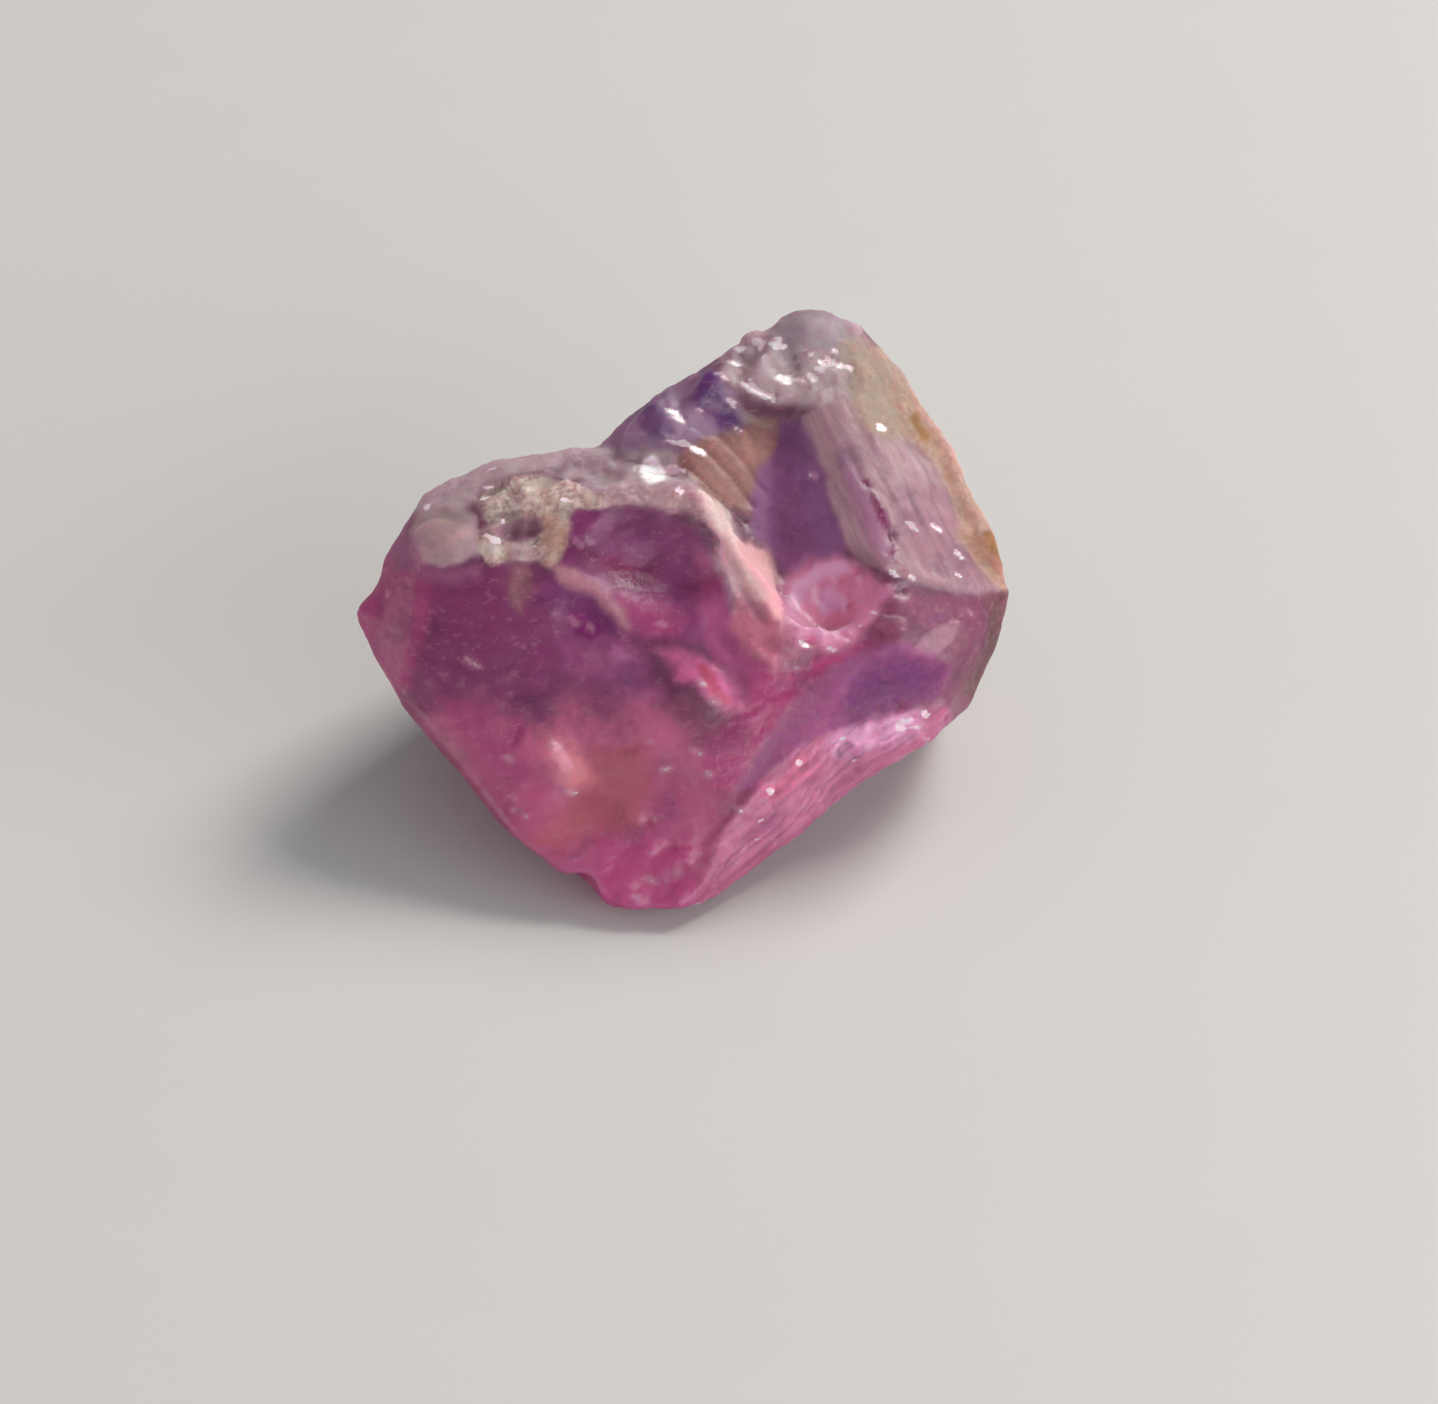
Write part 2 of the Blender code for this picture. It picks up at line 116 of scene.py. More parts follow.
# The stone's zones, laid onto it from the camera, later ones over earlier ones. Each has its outline in
# pixels of the photograph, its colour as it shows, 0 to 255, and the softness of its edge in pixels.
# cover: how far it hides the clear stone; matte: how frosted it is; grains, chips, pits, grooves and
# bandGrooves: how strong each is; sparkle: how thickly small bright facets lie.
zones = {
    # The front's own pink, painted darker at the top as painted shade and brighter lower down as a painted
    # glow of light passing through the stone
    "shadedUpperFront": patch([(415, 570), (500, 565), (560, 590), (625, 635), (700, 672), (650, 690), (610, 716),
        (570, 700), (520, 735), (470, 712), (430, 728), (400, 690)], (142, 52, 114), 32),
    "midFront": patch([(430, 728), (470, 712), (520, 735), (570, 700), (610, 716), (650, 690), (725, 760),
        (640, 785), (520, 785), (450, 740)], (240, 126, 174), 28, sparkle=0.02),
    "lowerFront": patch([(470, 770), (560, 775), (720, 770), (715, 905), (640, 925), (580, 895), (520, 845)],
        (216, 100, 154), 25, chips=0.15, sparkle=0.05),
    "leftFace": patch([(375, 550), (402, 530), (426, 560), (434, 600), (420, 645), (408, 690), (380, 700),
        (345, 640), (340, 608), (360, 570)], (176, 68, 126), 8, cover=0.35),
    # painted shade round the knob, on top of the left face
    "leftTopShade": patch([(395, 515), (415, 500), (412, 545), (430, 568), (480, 568), (480, 582), (430, 582),
        (385, 560)], (164, 90, 136), 8, cover=0.2),
    "innerFront": patch([(745, 665), (800, 660), (850, 645), (880, 640), (850, 660), (820, 685), (790, 715),
        (765, 750), (735, 800), (718, 790), (700, 760), (720, 715), (745, 700)],
        (202, 62, 136), 14, cover=0.15, sparkle=0.06),
    "frontVeil": patch([(556, 640), (600, 630), (640, 652), (662, 690), (640, 702), (600, 684), (562, 668)],
        (178, 86, 150), 12),
    "frontVein": patch([(536, 650), (545, 648), (549, 680), (546, 720), (538, 722), (534, 690)],
        (154, 52, 122), 6),
    "leftVeil": patch([(436, 700), (480, 706), (520, 740), (524, 775), (490, 770), (455, 735)],
        (192, 80, 138), 12),
    "darkMarks": patch([(507, 722), (520, 716), (526, 730), (520, 750), (508, 746)],
        (184, 62, 128), 6, chips=0.5),
    "glowPatch": patch([(545, 735), (575, 745), (605, 772), (600, 795), (570, 795), (548, 770)],
        (252, 150, 164), 12, cover=0.35),
    "glowSpot": patch([(547, 738), (560, 742), (569, 756), (573, 773), (562, 771), (552, 756)],
        (254, 174, 192), 5, cover=0.5),
    "brownPatch": patch([(590, 745), (640, 745), (650, 790), (640, 830), (590, 832), (560, 850), (530, 840),
        (570, 800), (600, 790)], (212, 108, 128), 14, cover=0.15),
    # painted highlight: light reflected off a crack inside the stone, with its core
    "crackHighlight": patch([(655, 648), (682, 652), (700, 660), (716, 664), (736, 682), (744, 708), (728, 710),
        (712, 700), (698, 682), (676, 676)], (254, 132, 190), 9, cover=0.35, chips=0.4),
    "crackHighlightCore": patch([(700, 664), (709, 668), (722, 684), (733, 704), (726, 706), (712, 692), (703, 678)],
        (222, 92, 130), 4, cover=0.4),
    # painted shade in the hollow under the ridge, darkest high up, with a pinker foot as a painted glow of
    # light passing through
    "dish": patch([(556, 520), (575, 505), (620, 506), (665, 512), (700, 530), (722, 562), (738, 605),
        (748, 645), (735, 665), (700, 650), (668, 640), (640, 640), (618, 618), (596, 592), (565, 572),
        (556, 548)], (140, 46, 116), 9, matte=0.5),
    "dishRoseHigh": patch([(570, 545), (610, 556), (650, 563), (658, 590), (620, 585), (590, 565)],
        (142, 12, 98), 9),
    "dishRose": patch([(606, 590), (640, 597), (672, 600), (684, 620), (672, 640), (650, 636), (628, 628),
        (612, 612)], (186, 72, 136), 9, cover=0.15, chips=0.3),
    "lipShade": patch([(700, 545), (718, 560), (735, 600), (742, 640), (755, 655), (760, 680), (735, 680),
        (712, 655), (700, 620), (694, 580)], (188, 84, 142), 9, matte=0.5),
    # painted shade in the dent under the crust
    "wedge": patch([(540, 574), (560, 578), (596, 592), (606, 612), (622, 640), (590, 632), (560, 610),
        (535, 602)], (118, 28, 108), 6, matte=0.5),
    "wedgePink": patch([(565, 612), (580, 610), (600, 632), (590, 640), (570, 630)], (156, 10, 130), 5),
    "ridgeBack": patch([(405, 495), (450, 460), (500, 440), (540, 440), (590, 425), (620, 440), (690, 452),
        (705, 490), (650, 488), (600, 495), (560, 470), (520, 472), (480, 492), (470, 512), (415, 515)],
        (200, 176, 182), 7, cover=0.3, matte=0.8, grains=0.25, chips=0.6, sparkle=0.12),
    "knob": patch([(411, 530), (420, 512), (436, 503), (458, 508), (478, 516), (486, 534), (480, 552),
        (460, 562), (440, 566), (422, 560)], (166, 136, 146), 5, cover=0.92, matte=0.3),
    "knobCore": patch([(418, 535), (424, 518), (440, 508), (458, 511), (471, 524), (469, 542), (455, 554),
        (436, 557), (424, 550)], (144, 120, 122), 9, cover=0.85, matte=0.2),
    "crustMain": patch([(474, 500), (492, 484), (530, 474), (560, 478), (600, 492), (617, 498), (610, 508),
        (580, 504), (572, 512), (566, 535), (562, 560), (550, 570), (538, 560), (512, 556), (498, 566),
        (482, 562), (476, 548), (482, 530), (498, 518), (480, 512)],
        (194, 174, 164), 4, cover=0.95, grains=1, sparkle=0.15),
    "crustCream": patch([(483, 502), (500, 488), (530, 478), (560, 480), (590, 491), (617, 498), (606, 509),
        (575, 505), (545, 509), (515, 509), (495, 517)],
        (208, 190, 178), 4, cover=0.95, grains=0.8, sparkle=0.15),
    "crustYellow": patch([(534, 514), (556, 511), (572, 523), (566, 546), (558, 567), (543, 568), (537, 549),
        (542, 532)], (184, 146, 130), 5, cover=0.9, grains=0.5),
    "crustLumps": patch([(506, 547), (524, 543), (540, 547), (546, 558), (530, 563), (511, 561)],
        (192, 164, 166), 4, cover=0.9, grains=0.6),
    "crustWhite": patch([(477, 546), (485, 538), (497, 542), (503, 551), (495, 563), (481, 561)],
        (200, 186, 178), 3, cover=0.9, grains=0.2),
    "crustPit": patch([(494, 527), (507, 520), (522, 517), (538, 519), (542, 530), (532, 541), (516, 544),
        (503, 540)], (138, 94, 112), 3, cover=0.5, grains=0.1),
    "crustTrail": patch([(512, 566), (528, 566), (530, 590), (522, 612), (512, 600)],
        (166, 114, 122), 6, cover=0.4, grains=0.3),
    "crustFoot": patch([(548, 562), (575, 570), (602, 586), (622, 612), (628, 632), (616, 626), (596, 596),
        (560, 582)], (204, 146, 160), 6, cover=0.35, grains=0.2),
    "ridgeBand": patch([(600, 488), (640, 484), (690, 488), (712, 494), (728, 508), (742, 540), (728, 548),
        (712, 528), (690, 512), (640, 508), (600, 508)],
        (184, 156, 160), 5, cover=0.85, grains=0.6, chips=0.5, sparkle=0.15),
    "ridgeGlint": patch([(644, 462), (656, 455), (664, 470), (664, 482), (648, 484), (640, 478)],
        (254, 254, 254), 3, cover=0.9),
    "lipGrey": patch([(712, 520), (735, 540), (742, 580), (760, 625), (782, 640), (765, 655), (745, 630),
        (730, 590), (716, 555)], (254, 228, 230), 9, cover=0.7, grains=0.4),
    "lipEnd": patch([(745, 600), (770, 622), (800, 630), (812, 648), (780, 665), (750, 655), (735, 630)],
        (242, 148, 176), 11, cover=0.5, grains=0.35, chips=0.6),
    "lip": patch([(732, 540), (750, 540), (770, 546), (771, 562), (779, 584), (786, 610), (784, 622),
        (773, 620), (765, 608), (751, 596), (738, 576), (728, 560), (725, 545)],
        (210, 154, 158), 6, cover=0.7, matte=0.6, grains=0.15, sparkle=0.1),
    "lipCream": patch([(694, 492), (704, 490), (718, 504), (730, 526), (738, 552), (750, 576), (766, 598),
        (758, 601), (742, 584), (728, 562), (718, 540), (706, 514)],
        (202, 180, 174), 5, cover=0.8, grains=0.3),
    "lipRedSpot": patch([(738, 602), (750, 604), (760, 622), (757, 640), (743, 636), (734, 620)],
        (230, 144, 172), 7, cover=0.3),
    "lipFootGrey": patch([(762, 630), (785, 625), (802, 640), (800, 652), (780, 656), (765, 646)],
        (186, 108, 132), 7, cover=0.4, chips=0.5),
    "ochreWall": patch([(690, 440), (712, 428), (745, 412), (780, 420), (786, 440), (770, 470), (756, 500),
        (750, 520), (735, 510), (705, 492), (684, 470), (676, 455)], (154, 110, 102), 6, cover=0.45),
    "ochreBright": patch([(738, 430), (770, 425), (782, 440), (768, 465), (745, 460)],
        (178, 126, 112), 8, cover=0.4),
    "flank": patch([(585, 440), (635, 392), (690, 365), (735, 390), (745, 420), (700, 440), (670, 450),
        (620, 452)], (158, 126, 158), 7, matte=0.4, chips=0.5, sparkle=0.2),
    # painted shade on the sides of the two small corners turned away from the light
    "firstCornerShade": patch([(636, 408), (656, 400), (668, 415), (674, 434), (655, 440), (640, 430)],
        (116, 82, 136), 4),
    "secondCornerShade": patch([(702, 368), (716, 375), (728, 400), (742, 425), (720, 430), (700, 412),
        (690, 400)], (100, 38, 126), 5),
    "crest": patch([(715, 340), (765, 300), (800, 295), (855, 320), (870, 360), (860, 390), (830, 415),
        (790, 405), (760, 400), (735, 385), (712, 360)],
        (194, 172, 176), 7, cover=0.3, matte=0.7, grains=0.12, chips=1, sparkle=0.45),
    "topKnob": patch([(768, 308), (795, 295), (825, 298), (850, 320), (852, 345), (820, 352), (790, 345),
        (772, 330)], (156, 142, 150), 6, cover=0.4, matte=1, grains=0.1, sparkle=0.05),
    "valleyShade": patch([(778, 424), (802, 420), (818, 452), (832, 500), (846, 545), (842, 566), (800, 574),
        (778, 566), (765, 540), (752, 528), (750, 500), (760, 470), (776, 448)],
        (146, 84, 140), 5, cover=0.2, matte=0.5),
    # painted shade, deepest on the valley's right wall, turned away from the light
    "valleyShadeBlue": patch([(800, 425), (815, 452), (830, 500), (842, 545), (838, 562), (815, 560), (812, 520),
        (800, 480)], (144, 92, 146), 9, cover=0.2, matte=0.5),
    "bowl": patch([(786, 575), (805, 562), (835, 556), (858, 566), (880, 585), (905, 600), (885, 625),
        (860, 640), (830, 650), (800, 645), (786, 620), (780, 595)],
        (240, 156, 194), 9, cover=0.3, chips=0.9, sparkle=0.12),
    # painted highlight along the bowl's upper rim
    "bowlHighlightArc": patch([(790, 600), (796, 578), (815, 565), (845, 562), (848, 572), (822, 577), (806, 590),
        (800, 612)], (254, 194, 230), 4, cover=0.3),
    "bowlDark": patch([(815, 598), (825, 588), (838, 592), (850, 600), (846, 614), (830, 612), (822, 618)],
        (254, 190, 232), 4, chips=1),
    "grooved": patch([(800, 418), (850, 395), (905, 400), (945, 440), (990, 525), (1010, 592), (950, 590),
        (890, 572), (858, 562), (846, 545), (832, 500), (818, 452)],
        (188, 154, 160), 4, cover=0.2, matte=0.6, grooves=1, sparkle=0.03),
    "groovedLow": patch([(900, 500), (945, 480), (985, 540), (1000, 590), (940, 580), (900, 560)],
        (178, 132, 146), 14, matte=0.5, grooves=1, sparkle=0.06),
    "groovedDark": patch([(838, 450), (856, 465), (872, 500), (886, 520), (890, 560), (872, 555), (858, 520),
        (846, 480)], (190, 142, 170), 9, matte=0.4, grooves=0.6),
    "grooveLine": patch([(862, 478), (869, 478), (890, 512), (898, 545), (898, 562), (892, 562), (886, 530)],
        (128, 26, 92), 3, grooves=0.6),
    "beigeTop": patch([(845, 340), (890, 340), (925, 375), (935, 410), (925, 440), (890, 440), (860, 430),
        (845, 400)],
        (160, 142, 126), 10, cover=0.6, matte=0.6, grains=0.15, chips=0.5, grooves=0.5, sparkle=0.2),
    "rim": patch([(893, 392), (930, 385), (955, 430), (985, 485), (1015, 540), (1023, 580), (1005, 598),
        (985, 575), (962, 545), (950, 505), (940, 470), (915, 445), (902, 425)],
        (166, 138, 120), 6, cover=0.85, grains=0.35, chips=0.6, sparkle=0.03),
    "rimDark": patch([(970, 528), (1000, 538), (1016, 560), (1010, 584), (985, 565), (968, 548)],
        (148, 108, 88), 7, cover=0.9, grains=0.4),
    "rimSpot": patch([(910, 417), (918, 412), (923, 425), (932, 431), (930, 443), (922, 440), (916, 429)],
        (132, 96, 52), 3, cover=0.9),
    "rimStreak": patch([(982, 530), (990, 531), (1000, 540), (1008, 552), (1004, 560), (994, 552),
        (985, 541)], (120, 90, 52), 3, cover=0.9),
    "rimStreakHigh": patch([(940, 462), (948, 466), (956, 480), (952, 486), (944, 476)],
        (144, 114, 98), 3, cover=0.9),
    "edgeFacet": patch([(888, 598), (940, 596), (1010, 598), (1010, 640), (975, 672), (950, 640), (910, 625),
        (880, 642), (866, 630)], (142, 60, 102), 6, cover=0.2, chips=0.4, sparkle=0.12),
    "paleFacet": patch([(909, 654), (925, 632), (950, 625), (961, 629), (950, 643), (927, 660)],
        (156, 114, 132), 2, cover=0.5, matte=0.5),
    "paleSliver": patch([(919, 627), (935, 616), (951, 609), (947, 618), (930, 629)],
        (132, 64, 108), 2, cover=0.4, matte=0.5),
    "paleSliverRight": patch([(951, 651), (960, 634), (970, 627), (967, 642), (957, 655)],
        (128, 74, 96), 2, cover=0.4, matte=0.5),
    "rightCorner": patch([(985, 596), (1012, 592), (1018, 640), (1002, 680), (975, 705), (962, 690),
        (985, 650), (992, 615)], (118, 64, 70), 6, cover=0.2),
    # painted shade: the strip is a facet in shadow, darker still towards its right end
    "strip": patch([(850, 655), (905, 640), (955, 668), (938, 700), (890, 715), (830, 738), (795, 755),
        (758, 790), (735, 795), (760, 750), (790, 712), (820, 680)],
        (146, 70, 120), 7, cover=0.55, matte=0.5),
    "stripShade": patch([(852, 668), (880, 655), (905, 648), (942, 668), (934, 692), (896, 704), (856, 712),
        (838, 700)], (122, 54, 116), 18, cover=0.5, matte=0.5),
    "band": patch([(945, 705), (890, 716), (815, 738), (790, 756), (757, 790), (720, 830), (685, 915),
        (745, 880), (800, 850), (860, 810), (915, 772), (955, 725)],
        (204, 120, 156), 5, cover=0.4, matte=0.4, chips=0.6, pits=0.5, bandGrooves=1, sparkle=0.08),
    "bandFoot": patch([(945, 735), (915, 775), (860, 813), (800, 853), (745, 883), (690, 915), (690, 898),
        (740, 862), (800, 828), (860, 788), (915, 748)],
        (176, 92, 128), 8, cover=0.45, matte=0.3, chips=0.5, bandGrooves=0.6),
    # painted highlight: the brightest part of the band, lit pink by light passing through
    "bandBright": patch([(830, 735), (880, 715), (922, 712), (925, 730), (890, 745), (850, 755), (815, 760)],
        (238, 172, 210), 8, cover=0.5, matte=0.4, chips=0.8, bandGrooves=1, sparkle=0.2),
    "bandWarm": patch([(760, 790), (800, 755), (830, 750), (815, 775), (775, 805)],
        (216, 114, 152), 8, cover=0.5, chips=0.6, bandGrooves=1),
    "tip": patch([(595, 830), (700, 845), (700, 890), (680, 925), (640, 925), (590, 900)],
        (214, 82, 148), 14, cover=0.15, chips=0.4, pits=0.4, sparkle=0.06),
}


def blot(middle, reach, colour, **settings):
    return {"middle": Vector(middle), "reach": reach, "colour": linear(colour), **settings}


# Zones on the sides that the photograph doesn't show: a middle and a reach in mm, and the same settings
hiddenZones = {
    "backFrost": blot((1.2, 3.2, 5.6), 1.6, (172, 136, 156), cover=0.3, matte=0.8, grains=0.25, chips=0.5,
        sparkle=0.15),
    "backRose": blot((-1.0, 3.4, 2.6), 1.7, (174, 90, 130), chips=0.3),
    "backViolet": blot((1.8, 3.8, 2.2), 1.4, (112, 56, 104), chips=0.3),
    "backWarm": blot((0.8, 3.9, 3.4), 1.2, (178, 96, 116), cover=0.1, chips=0.4),
    "backStain": blot((3.4, 3.0, 4.5), 1.1, (176, 136, 122), cover=0.5, grains=0.3, chips=0.4),
    "backCrust": blot((-2.4, 1.6, 4.7), 1.2, (172, 140, 140), cover=0.55, grains=0.5),
    "leftRose": blot((-4.3, 0.2, 2.4), 1.4, (176, 88, 126), chips=0.3),
    "leftFoot": blot((-3.0, -0.6, 0.9), 1.4, (148, 70, 108), chips=0.4),
    "rightRose": blot((4.3, 0.6, 1.9), 1.4, (174, 94, 130), chips=0.4),
    "rightStain": blot((4.7, 0.9, 3.7), 0.9, (178, 136, 120), cover=0.5, grains=0.3, chips=0.4),
}

# The clear stone where no zone lies: lighter low down, a painted glow of light passing through it, and darker
# high up as painted shade
bodyColours = {
    "high": (120, 62, 96),
    "low": (160, 80, 116),
    "lowLevel": 1.4,  # mm above the floor
    "highLevel": 4.2,
    "wave": 0.9,  # how far the levels wander, in mm
    "waveSize": 2.0,
}

# How the zones are laid. A pair in brackets is how fine a noise is and its strength.
laying = {
    "ragged": ((1.6, 6), (4, 4), (9, 2)),  # of the outlines, in pixels
    "steadyShare": 0.4,  # share of the raggedness that the sharpest outlines have
    "looseEdge": 18,  # pixels of softness that add a whole share
    "margin": 12,  # pixels that the raggedness may add to an outline's box
    "hiddenRagged": ((0.9, 0.7), (2.4, 0.45), (7, 0.15)),
    "hiddenFade": (1.3, 0.6),  # reaches at which a hidden zone starts and is full
    "roundReach": 0.45,  # mm that the colours seen reach round to the hidden sides
    "leastShare": 0.02,
}

settings = ("cover", "matte", "grains", "chips", "pits", "grooves", "bandGrooves", "sparkle", "glints")
shownSettings = ("cover", "matte", "grains", "grooves", "bandGrooves", "glints")  # those the finish reads


def softStep(low, high, value):
    share = min(1.0, max(0.0, (value - low) / (high - low)))
    return share * share * (3 - 2 * share)


def wander(at, waves):
    # a noise made of several: how fine each is, in waves to the mm, and its strength
    return sum(strength * noise.noise(at * fine) for fine, strength in waves)


def insideBy(across, down, outline):
    # how far a pixel lies inside an outline; negative outside it
    inside = False
    nearest = inf
    for (startX, startY), (endX, endY) in zip(outline, outline[1:] + outline[:1]):
        wayX, wayY = endX - startX, endY - startY
        if (startY > down) != (endY > down) and across < startX + (down - startY) * wayX / wayY:
            inside = not inside
        part = ((across - startX) * wayX + (down - startY) * wayY) / (wayX * wayX + wayY * wayY)
        part = min(1.0, max(0.0, part))
        nearest = min(nearest, (across - startX - part * wayX) ** 2 + (down - startY - part * wayY) ** 2)
    return sqrt(nearest) if inside else -sqrt(nearest)


def bodyPaint(at):
    # the clear stone's colour, lighter low down as a painted glow and darker high up as painted shade
    level = at.z + bodyColours["wave"] * noise.noise(at / bodyColours["waveSize"])
    share = softStep(bodyColours["lowLevel"], bodyColours["highLevel"], level)
    low, high = linear(bodyColours["low"]), linear(bodyColours["high"])
    return {"colour": low.lerp(high, share), **{name: 0.0 for name in settings}}


def layOver(paint, zone, share):
    # one zone over what lies there already
    paint["colour"] = paint["colour"].lerp(zone["colour"], share)
    for name in settings:
        paint[name] += (zone.get(name, 0.0) - paint[name]) * share


def paintHidden(paint, at):
    # the zones on the sides that the photograph doesn't show
    for zone in hiddenZones.values():
        away = (at - zone["middle"]).length / zone["reach"]
        away += wander(at, laying["hiddenRagged"])
        share = softStep(*laying["hiddenFade"], away)
        if share > 0:
            layOver(paint, zone, share)


def paintSeen(paint, at):
    # the zones drawn on the photograph
    across, down = pixelOf(at)
    ragged = Vector()
    for fine, strength in laying["ragged"]:
        ragged += noise.noise_vector(at * fine) * strength
    for zone in zones.values():
        left, right, top, bottom = zone["box"]
        edge = zone["edge"]
        margin = edge + laying["margin"]
        if left - margin < across < right + margin and top - margin < down < bottom + margin:
            shift = ragged * (laying["steadyShare"] + edge / laying["looseEdge"])
            share = softStep(-edge, edge, insideBy(across + shift.x, down + shift.y, zone["outline"]))
            if share > 0:
                layOver(paint, zone, share)


def paintStone(points, normals):
    # what lies at every point of the surface: its colour and settings
    paints = [bodyPaint(at) for at in points]
    seen = [isSeen(at, normal) for at, normal in zip(points, normals)]
    tree = kdtree.KDTree(sum(seen))
    for index, at in enumerate(points):
        if seen[index]:
            paintSeen(paints[index], at)
            tree.insert(at, index)
        else:
            paintHidden(paints[index], at)
    tree.balance()
    for index, at in enumerate(points):
        if not seen[index]:
            source, away = tree.find(at)[1:]
            share = exp(-(away / laying["roundReach"]) ** 2)
            if share > laying["leastShare"]:
                layOver(paints[index], paints[source], share)
    print("zones laid on:", sum(seen), "points seen of", len(points))
    return paints


# The stone's fine surface

stoneShape = {
    "cell": 0.055,  # mm between points of the fine surface
    "easeSteps": 6,  # how far the solid's own small facets are worn in
    "placeSteps": 110,  # how far the places worn smooth are smoothed
    "placeFade": (-6, 8),  # pixels outside and inside their outlines between which it fades in
    "footFade": 0.12,  # mm above the floor over which the relief fades in
    "swell": 0.02,  # slow unevenness of the crystal faces
    "swellSize": 1.1,  # mm
    "crumbHeight": 0.055,
    "crumbSize": 0.24,
    "crumbEdge": (0.75, 0.15),  # where a crumb starts and is full, in its own sizes
    "crumbWarp": (5, 0.08),  # how fine and how strong
    "crumbCrowding": (1.8, 0.8),  # how much smaller the crumbs get in places
    "crumbSpread": 0.35,  # how much their heights differ
    "crumbGap": (70, 40, 62),  # the colour between the crumbs
    "gapShare": 0.5,
    "lumpHeight": 0.07,
    "lumpSize": 0.42,
    "faceTilt": 0.01,  # slope of the broad flat patches of the faces
    "faceSize": 1.0,
    "chipTilt": 0.16,  # and of the small chipped places
    "chipSize": 0.34,
    "chipWarp": (0.8, 0.3),
    "grooveDepth": 0.005,
    "grooveSpacing": 0.24,
    "grooveWander": ((0.9, 0.1), (3, 0.03)),
    "grooveSecond": (0.37, 0.6),  # a slower wave over the first
    "grooveRun": (0.45, -0.7, -0.56),
    "grooveFace": (0.62, -0.15, 0.77),
    "bandGrooveDepth": 0.012,
    "bandGrooveSpacing": 0.26,
    "bandWander": ((1.3, 0.16),),
    "bandRun": (0.78, 0.45, 0.42),
    "bandFace": (0.3, -0.8, 0.3),
    "pitDepth": 0.04,
    "pitSize": 0.3,
    "pitRim": (0.08, 0.34),  # in its own sizes
    "stepHeight": 0.006,  # growth steps, drawn out along the faces
    "stepSize": 0.4,
    "stepStretch": (0.8, 1.4, 2.6),
    "strayPit": 0.01,
    "strayPitSize": 0.4,
    "frostHeight": 0.025,  # lumps of the frosted places
    "frostSize": 0.34,
    "frontDepth": 0.7,  # mm behind the surface seen that still belong to the front
    "least": 0.01,  # weakest setting that is worked
}

# Small bright facets, cut flat and painted pale as painted glints
facets = {
    "facing": (0.34, -0.25, 0.91),  # the way they face
    "depth": 0.03,  # mm
    "length": 2.2,  # how many times longer than wide they are
    "turn": (-20, 45),  # degrees from level, and how far it varies
    "ragged": 0.6,
    "fill": 0.8,  # share of the reach that a facet fills
    "flatFrom": (1.5, 0.8),  # reaches from its middle at which it starts and is full
    "brightFrom": (1.25, 0.7),
    "smallest": (0.07, 0.1),  # mm of reach below which a facet is only bright
    "gap": 0.28,  # mm between those strewn over the zones that sparkle
    "strewnReach": (0.06, 0.025),  # of those, and how far it varies
    "faintStrength": 0.42,
    "dullStrength": 0.5,  # what a frosted or covered place adds to it
    # the pale pink painted on the faint facets as a painted highlight
    "pale": (240, 184, 206),
    "paleShare": 0.8,
}

# Raised (+) and sunken (-) lines: the pixels they run through, their reach and their height in mm
lines = {
    "lipCrest": ([(700, 494), (720, 512), (733, 545), (746, 576), (764, 602), (780, 622)], 0.08, 0.05),
    "lipFoot": ([(716, 545), (732, 590), (748, 632)], 0.1, -0.05),
    "crustEdge": ([(504, 563), (530, 562), (558, 572), (595, 585), (622, 626)], 0.09, 0.02),
    "crustUnder": ([(500, 576), (545, 582), (590, 600), (612, 636)], 0.1, -0.02),
    "valleyEdge": ([(802, 420), (818, 452), (832, 500), (848, 548)], 0.09, 0.02),
    "grooveStep": ([(846, 452), (866, 484), (888, 496), (894, 540)], 0.06, -0.035),
    "rightEdge": ([(880, 572), (915, 573), (955, 583), (1003, 593)], 0.08, 0.05),
    "stripTop": ([(740, 780), (790, 705), (822, 675), (880, 650), (920, 655), (950, 668)], 0.13, 0.01),
    "stripFloor": ([(765, 765), (800, 730), (850, 700), (900, 685), (940, 682)], 0.2, -0.02),
    "bandTop": ([(932, 707), (887, 718), (813, 737), (790, 755), (756, 790), (722, 840)], 0.12, 0.035),
    "wallStreakHigh": ([(700, 445), (730, 475), (752, 505)], 0.05, -0.04),
    "wallStreakMiddle": ([(718, 436), (745, 462), (762, 490)], 0.05, -0.035),
    "wallStreakLow": ([(684, 462), (712, 492), (745, 522)], 0.05, -0.05),
    "dishCrease": ([(600, 590), (640, 597), (680, 602), (700, 618)], 0.12, 0.012),
    "bowlFloor": ([(812, 600), (848, 606)], 0.22, 0.07),
    "streakEdge": ([(668, 648), (700, 661), (722, 684), (735, 708)], 0.07, 0.008),
}

